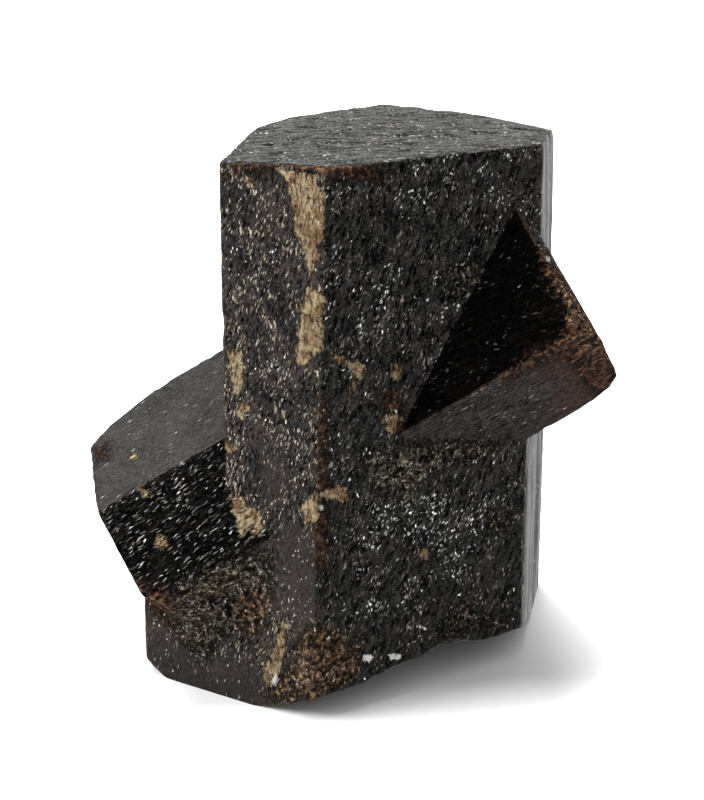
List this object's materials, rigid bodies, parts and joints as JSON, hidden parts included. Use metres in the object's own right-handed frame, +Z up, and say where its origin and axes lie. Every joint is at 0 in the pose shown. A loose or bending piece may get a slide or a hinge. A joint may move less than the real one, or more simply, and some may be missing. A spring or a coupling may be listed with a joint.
{
  "type": "staurolite twin crystal",
  "caption": "Dark brown-black staurolite mineral specimen: two six-sided prisms grown through each other in a slanting cross, standing on a flat broken foot.",
  "frame": {"origin": "centre of the bounding box at the flat rest face", "axes": "+Z up along the upright prism's axis; +X to the right towards the leaning prism's raised arm; +Y to the back"},
  "size_m": [0.0378, 0.0308, 0.041],
  "materials": {
    "dark_stone": "satin"
  },
  "bodies": {
    "root": {"staurolite_twin": "dark_stone"}
  },
  "joints": []
}
